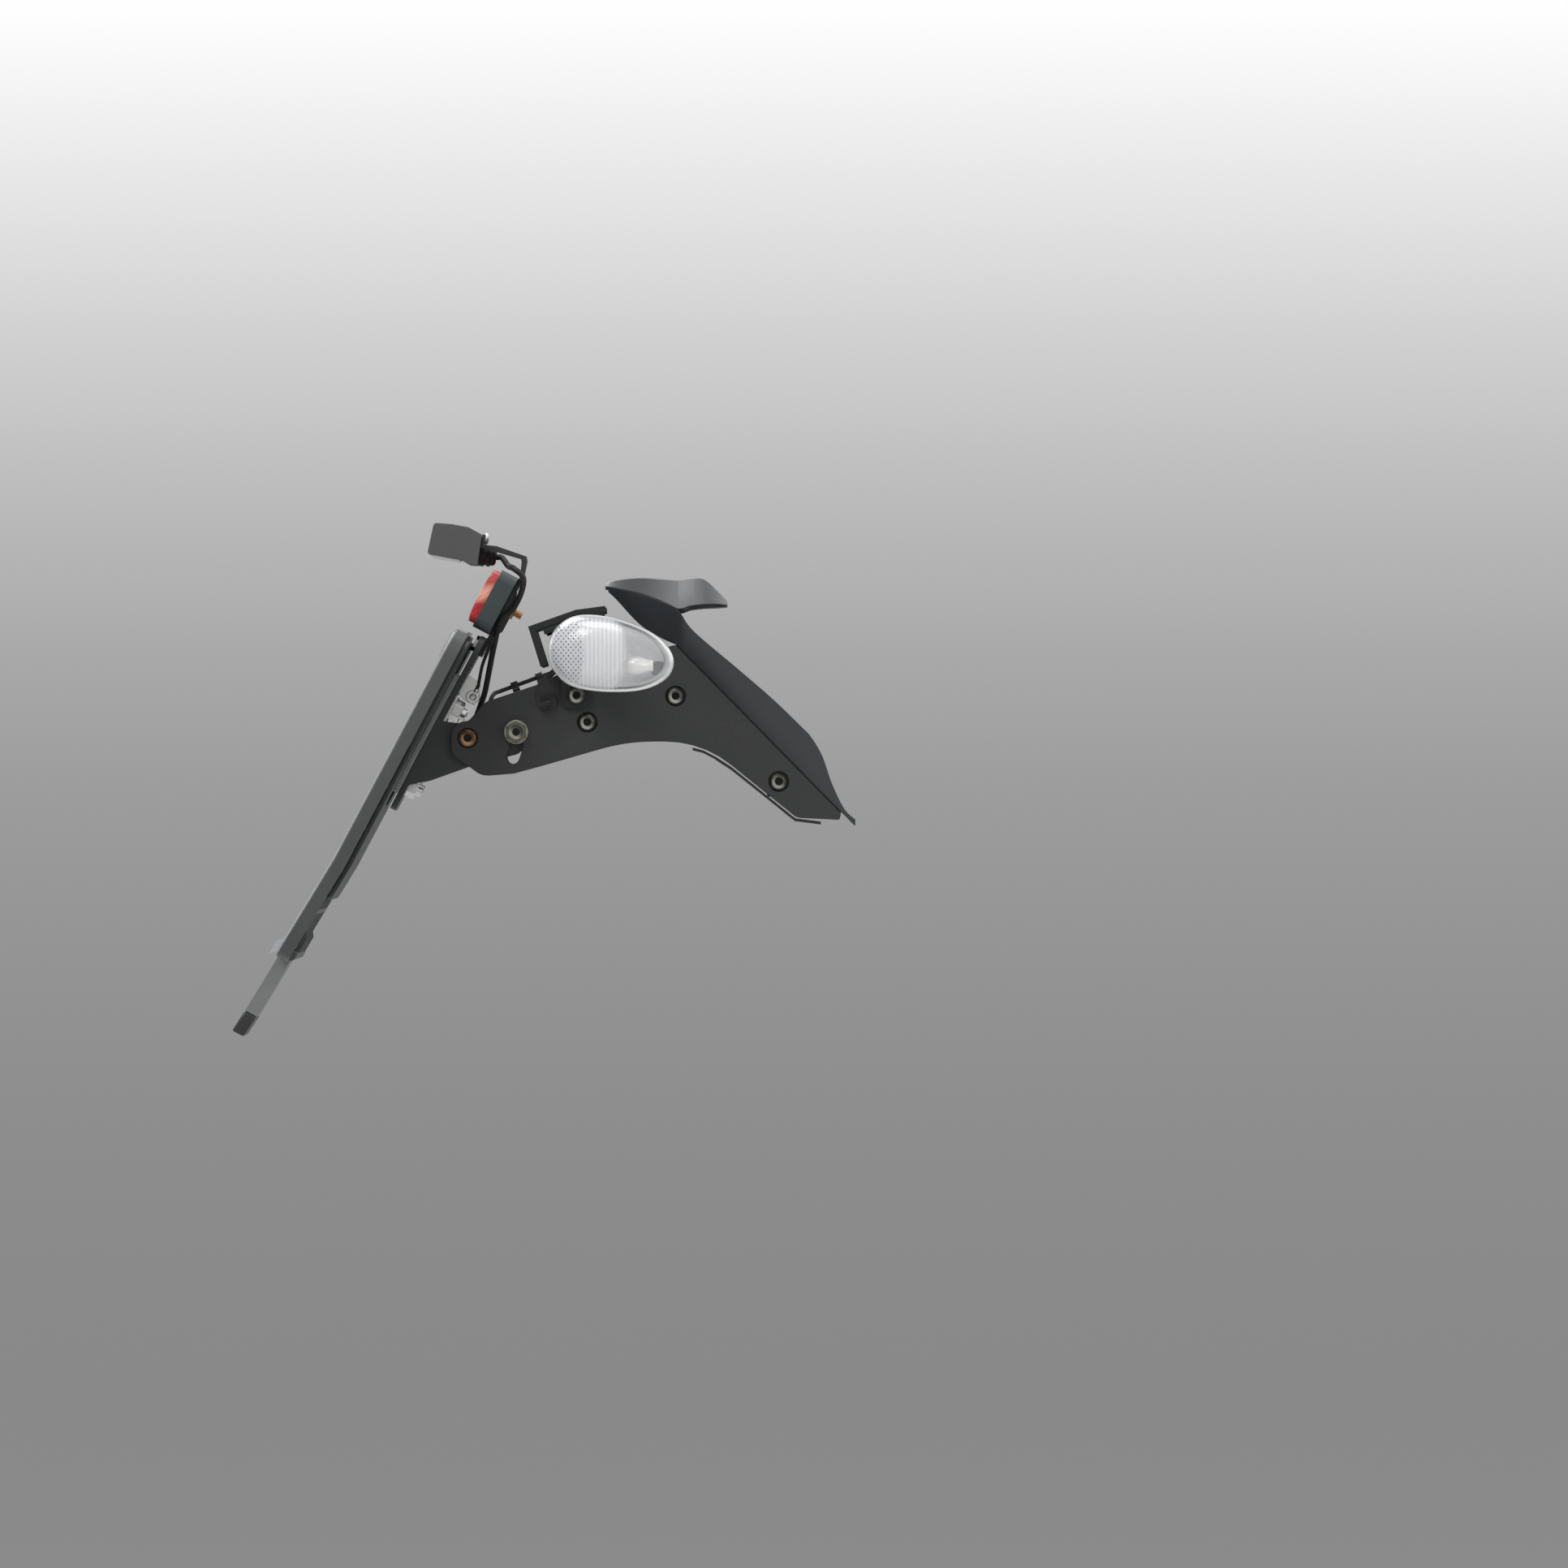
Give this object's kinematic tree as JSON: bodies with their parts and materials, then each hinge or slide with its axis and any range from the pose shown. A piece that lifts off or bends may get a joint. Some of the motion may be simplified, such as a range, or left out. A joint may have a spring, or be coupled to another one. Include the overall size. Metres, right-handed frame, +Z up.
{
  "type": "tail tidy",
  "caption": "Adjustable motorbike tail tidy: side plates, a moulded cover, a tilting number-plate holder with lamp and reflector, and an indicator on each side",
  "frame": {"origin": "middle of the four subframe bolts, on the face that meets the subframe", "axes": "+X to the front of the bike, +Y to its left, +Z up"},
  "size_m": [0.2603, 0.2204, 0.2146],
  "materials": {
    "plates_black": "matte powder coat",
    "cover_black": "fine moulded grain",
    "bracket_black": "satin powder coat",
    "holder_grey": "satin moulding",
    "layer_grey": "brushed edge",
    "bright_frame": "bright trim",
    "steel": "stainless",
    "dark_steel": "olive-grey passivated",
    "bronze": "dull bronze",
    "rubber_black": "matt",
    "plastic_black": "moulded",
    "clear_lens": "clear moulded prisms",
    "red_lens": "glossy",
    "bulb": "silvered glass",
    "bright_bowl": "mirror bright"
  },
  "bodies": {
    "arm": {"side_plate_right": "plates_black", "side_plate_left": "plates_black", "mounting_bracket": "bracket_black", "bracket_screws": "dark_steel", "arm_nuts": "steel", "tail_cover": "cover_black", "under_panel": "plates_black", "front_spacer": "steel", "spacer_screws": "dark_steel", "pivot_screws": "bronze", "indicator_bracket_right": "bracket_black", "indicator_bracket_left": "bracket_black", "indicator_stem_right": "rubber_black", "indicator_stem_left": "rubber_black", "stem_nuts": "steel", "indicator_housing_right": "plastic_black", "indicator_housing_left": "plastic_black", "indicator_reflector_right": "bright_bowl", "indicator_reflector_left": "bright_bowl", "indicator_lens_right": "clear_lens", "indicator_lens_left": "clear_lens", "lens_gaskets": "rubber_black", "bulb_holder_right": "plastic_black", "bulb_holder_left": "plastic_black", "indicator_bulb_right": "bulb", "indicator_bulb_left": "bulb", "indicator_lead_right": "rubber_black", "indicator_lead_left": "rubber_black", "cable_grommets": "rubber_black", "loom_connector": "plastic_black", "fixed_lead": "rubber_black", "cable_clips": "plastic_black"},
    "carrier": {"carrier_bracket": "bracket_black", "pivot_bushes": "bronze", "lock_bolts": "dark_steel", "lock_washers": "dark_steel", "lock_nuts": "steel", "adapter_plate": "layer_grey", "backing_plate": "bracket_black", "plate_base": "holder_grey", "plate_frame": "bright_frame", "tail_strip": "layer_grey", "strip_end": "plastic_black", "holder_bolts": "steel", "holder_nuts": "steel", "clamp_strip": "steel", "upper_bracket": "bracket_black", "upper_screws": "steel", "reflector_housing": "holder_grey", "reflector_stud": "bronze", "reflector_lens": "red_lens", "reflector_washer": "bronze", "reflector_nut": "bronze", "lamp_housing": "plastic_black", "lamp_lens": "clear_lens", "lamp_boot": "rubber_black", "lamp_screws": "steel", "lamp_lead": "rubber_black", "earth_wire": "rubber_black", "cable_clamp": "steel"}
  },
  "joints": [
    {"name": "plate_tilt", "type": "hinge", "parent": "arm", "child": "carrier", "pos_m": [-0.09, 0, -0.027], "axis": [0, 1, 0], "range_deg": [0, 30]}
  ]
}
